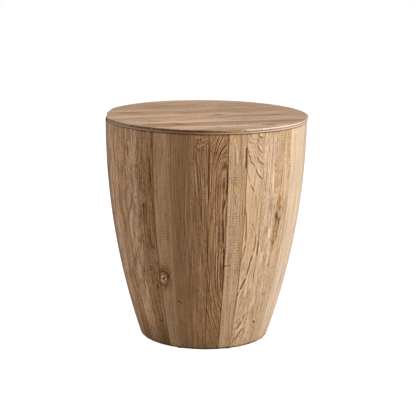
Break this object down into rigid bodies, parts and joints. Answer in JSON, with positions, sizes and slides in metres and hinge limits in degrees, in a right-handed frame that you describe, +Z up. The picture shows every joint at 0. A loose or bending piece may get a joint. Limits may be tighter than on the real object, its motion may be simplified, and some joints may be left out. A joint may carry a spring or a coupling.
{
  "type": "barrel coffee table",
  "caption": "Round barrel-shaped coffee or side table: a drum of bowed, tapered staves of reclaimed wood under a thin boarded top.",
  "frame": {"origin": "on the floor, under the centre of the round top", "axes": "+Z up along the drum's axis; -Y is the front, as seen in the picture, and +X is to the viewer's right"},
  "size_m": [0.535, 0.535, 0.595],
  "materials": {
    "stave_brown": "wire-brushed reclaimed pine, clear matt oil",
    "stave_mid": "wire-brushed reclaimed pine, clear matt oil",
    "stave_tan": "wire-brushed reclaimed pine, clear matt oil",
    "stave_cream": "wire-brushed reclaimed pine, clear matt oil",
    "stave_grey": "wire-brushed reclaimed pine, clear matt oil",
    "board_brown": "wire-brushed reclaimed pine, clear matt oil",
    "board_light": "wire-brushed reclaimed pine, clear matt oil",
    "plywood": "sanded birch plywood",
    "screw_steel": "zinc-plated steel",
    "felt": "pressed wool felt"
  },
  "bodies": {
    "root": {"stave_01": "stave_brown", "stave_02": "stave_tan", "stave_03": "stave_tan", "stave_04": "stave_tan", "stave_05": "stave_tan", "stave_06": "stave_cream", "stave_07": "stave_cream", "stave_08": "stave_cream", "stave_09": "stave_mid", "stave_10": "stave_grey", "stave_11": "stave_tan", "stave_12": "stave_brown", "stave_13": "stave_mid", "stave_14": "stave_tan", "stave_15": "stave_cream", "stave_16": "stave_mid", "stave_17": "stave_grey", "stave_18": "stave_tan", "stave_19": "stave_brown", "stave_20": "stave_mid", "stave_21": "stave_tan", "stave_22": "stave_grey", "stave_23": "stave_cream", "stave_24": "stave_mid", "stave_25": "stave_tan", "stave_26": "stave_brown", "stave_27": "stave_grey", "stave_28": "stave_grey", "stave_29": "stave_mid", "stave_30": "stave_grey", "stave_31": "stave_brown", "stave_32": "stave_mid", "stave_33": "stave_brown", "stave_34": "stave_brown", "top_board_01": "board_brown", "top_board_02": "board_light", "top_board_03": "board_brown", "top_board_04": "board_light", "top_board_05": "board_brown", "top_board_06": "board_light", "top_board_07": "board_brown", "top_board_08": "board_light", "top_board_09": "board_brown", "top_board_10": "board_brown", "top_board_11": "board_light", "sub_top": "plywood", "upper_former": "plywood", "middle_former": "plywood", "bottom_panel": "plywood", "top_screws": "screw_steel", "felt_pads": "felt"}
  },
  "joints": []
}
